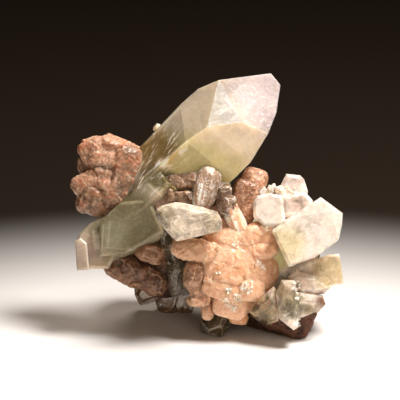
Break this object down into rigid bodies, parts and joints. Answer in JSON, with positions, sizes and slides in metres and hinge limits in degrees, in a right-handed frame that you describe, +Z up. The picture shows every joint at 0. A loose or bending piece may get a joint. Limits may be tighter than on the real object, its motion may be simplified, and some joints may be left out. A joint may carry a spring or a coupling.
{
  "type": "apophyllite cluster",
  "caption": "Mineral specimen: a large leaning green apophyllite crystal with blocky white ones and peach stilbite on brown matrix.",
  "frame": {"origin": "middle of the bounding box, at the level of the feet that the cluster rests on", "axes": "+Z up; the front looks along -Y; +X runs to the viewer's right, from the stilbite ball to the blocky crystals"},
  "size_m": [0.0919, 0.0644, 0.0855],
  "materials": {
    "apophyllite_green": "clear to milky, green at the root, white at the tip",
    "apophyllite_white": "milky white to greenish clear",
    "apophyllite_pale": "pale and milky with clear patches",
    "apophyllite_glassy": "glassy, smoky grey",
    "apophyllite_dark": "glassy, dark green",
    "stilbite_peach": "pearly, peach, finely bladed",
    "stilbite_rosy": "pearly, rosy with orange rims",
    "stilbite_brown": "pearly, brown",
    "basalt": "rough, rusty brown"
  },
  "bodies": {
    "root": {"apophyllite_large": "apophyllite_green", "apophyllite_front": "apophyllite_pale", "apophyllite_right": "apophyllite_white", "apophyllite_low": "apophyllite_glassy", "apophyllite_foot": "apophyllite_dark", "apophyllite_hollow": "apophyllite_glassy", "apophyllite_glassy": "apophyllite_glassy", "apophyllite_back": "apophyllite_pale", "matrix": "basalt", "stilbite_left": "stilbite_rosy", "stilbite_centre": "stilbite_peach", "stilbite_under": "stilbite_brown", "stilbite_back": "stilbite_brown"}
  },
  "joints": []
}
